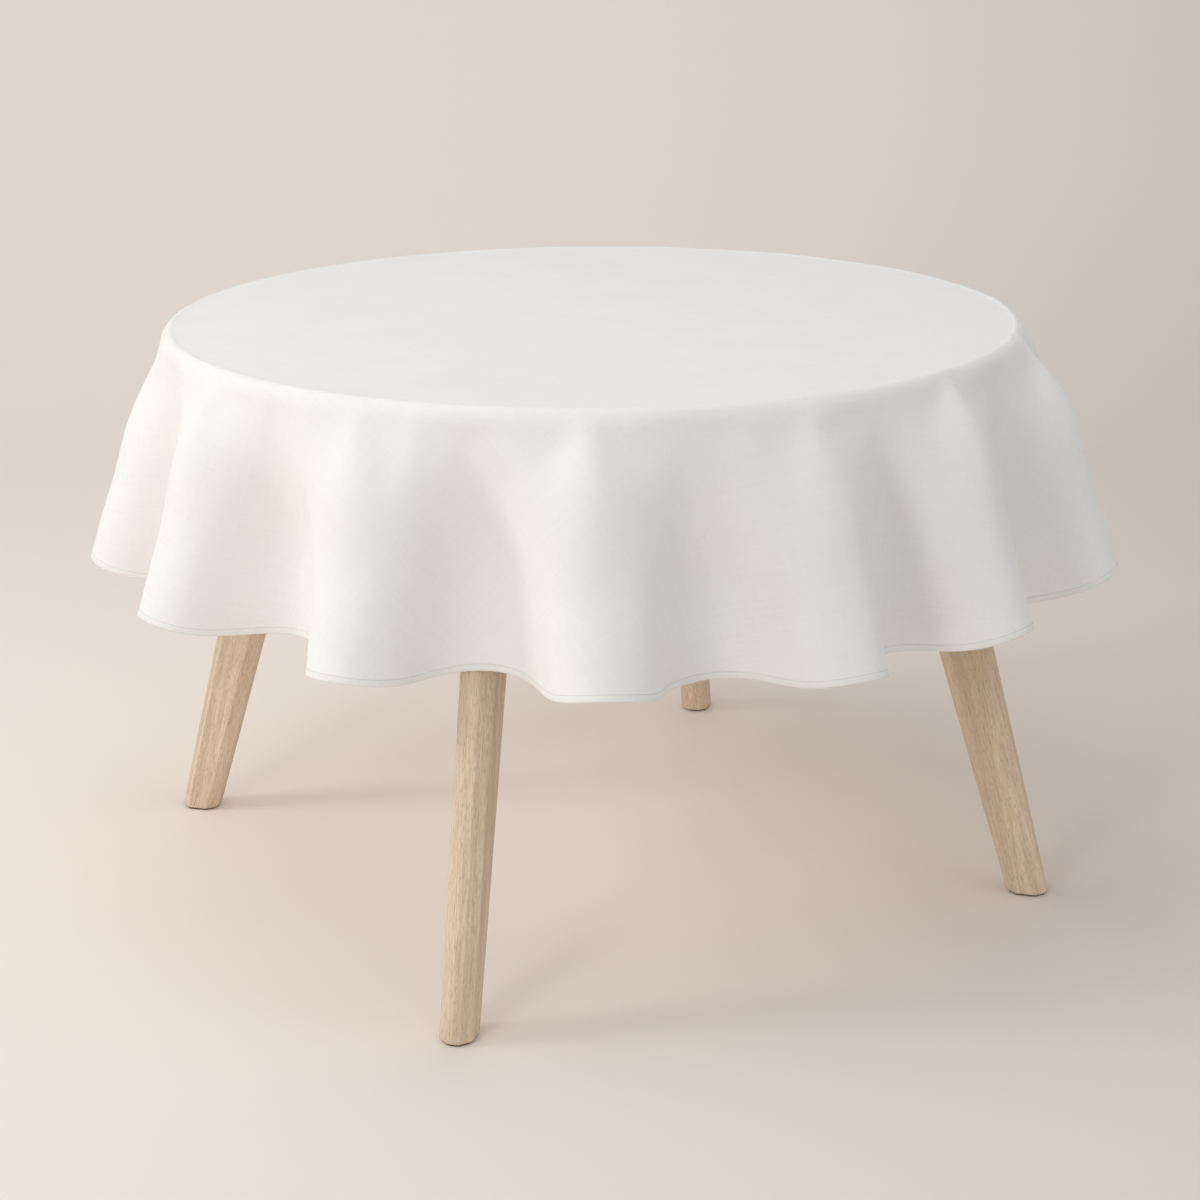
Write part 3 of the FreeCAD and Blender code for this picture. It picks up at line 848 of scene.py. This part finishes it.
def add_area(name, place, target, size, power, tint):
    """Soft rectangular light, aimed at a point."""
    data = bpy.data.lights.new(name, "AREA")
    data.shape = "RECTANGLE"
    data.size, data.size_y = size
    data.energy = power
    data.color = tint
    lamp = bpy.data.objects.new(name, data)
    bpy.context.scene.collection.objects.link(lamp)
    lamp.location = place
    lamp.visible_camera = False
    lamp.rotation_euler = (Vector(target) - place).to_track_quat("-Z", "Y").to_euler()


def make_lights():
    """Even white surroundings, a key light on the left and weaker lights round the table."""
    world = bpy.data.worlds.new("studio")
    bpy.context.scene.world = world
    world.use_nodes = True
    background = world.node_tree.nodes["Background"]
    background.inputs["Color"].default_value = WORLD_COLOUR
    background.inputs["Strength"].default_value = WORLD_STRENGTH
    add_area("key", in_camera_plan(-3.9, -0.6, 2.3), (0, 0, 0.3), (1.0, 1.0), 38.0,
             (1.0, 0.98, 0.95))
    add_area("front", in_camera_plan(-2.0, -3.5, 1.7), (0, 0, 0.3), (1.0, 1.0), 27.0,
             (1.0, 0.99, 0.975))
    add_area("right", in_camera_plan(3.4, -2.0, 1.3), (0, 0, 0.4), (1.6, 1.4), 8.0,
             (1.0, 0.985, 0.965))
    add_area("under", Vector((0.0, 0.0, 0.60)), (0, 0, 0), (0.6, 0.6), 1.5,
             (1.0, 0.99, 0.98))
    add_area("overhead", in_camera_plan(-0.8, -0.3, 3.6), (0, 0, 0.7), (2.6, 2.6), 26.0,
             (1.0, 1.0, 1.0))


def make_camera():
    """Camera at the height, distance and tilt of the photograph's."""
    pitch = math.radians(CAMERA_PITCH)
    yaw = math.radians(CAMERA_YAW)
    roll = math.radians(CAMERA_ROLL)
    forward = in_camera_plan(math.sin(yaw) * math.cos(pitch), math.cos(yaw) * math.cos(pitch),
                             -math.sin(pitch))
    level = in_camera_plan(math.cos(yaw), -math.sin(yaw), 0.0)
    upright = level.cross(forward)
    right = level * math.cos(roll) - upright * math.sin(roll)
    up = level * math.sin(roll) + upright * math.cos(roll)
    data = bpy.data.cameras.new("camera")
    data.lens = CAMERA_LENS
    data.sensor_width = 36.0
    camera = bpy.data.objects.new("camera", data)
    bpy.context.scene.collection.objects.link(camera)
    place = in_camera_plan(0.0, -CAMERA_DISTANCE, CAMERA_HEIGHT)
    axes = Matrix((right, up, -forward)).transposed().to_4x4()
    camera.matrix_world = Matrix.Translation(place) @ axes
    bpy.context.scene.camera = camera


# ---------------------------------------------------------------- everything together
def dress(piece, material, node):
    """Hang a new piece on the cloth's body, in place of a CAD node."""
    piece.data.materials.append(material)
    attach(piece, "tablecloth")
    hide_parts(node)
    return piece


flat_radii = fine_radii()
rings, flat = lay_of_cloth(flat_radii)
down, outward = down_and_outward(rings)
panel = dress(make_panel(rings, flat, outward), linen("linen", LINEN_LIGHT, LINEN_DARK),
              "tablecloth_panel")
# The hem's linen has both tones a little darker than the panel's: painted shade, for the
# doubled band that lets less light through.
hem = dress(make_hem(rings[-1], down[-1], outward[-1], flat[-1]),
            linen("linen_hem", colour(239, 237, 233), colour(227, 223, 216), 0.4, 0.8),
            "tablecloth_hem")
stitches = dress(make_stitches(rings[-1], down[-1], outward[-1]), thread(),
                 "hem_stitching")
finish_table()
make_stage()
make_lights()
make_camera()
bpy.context.scene.view_settings.view_transform = "Standard"
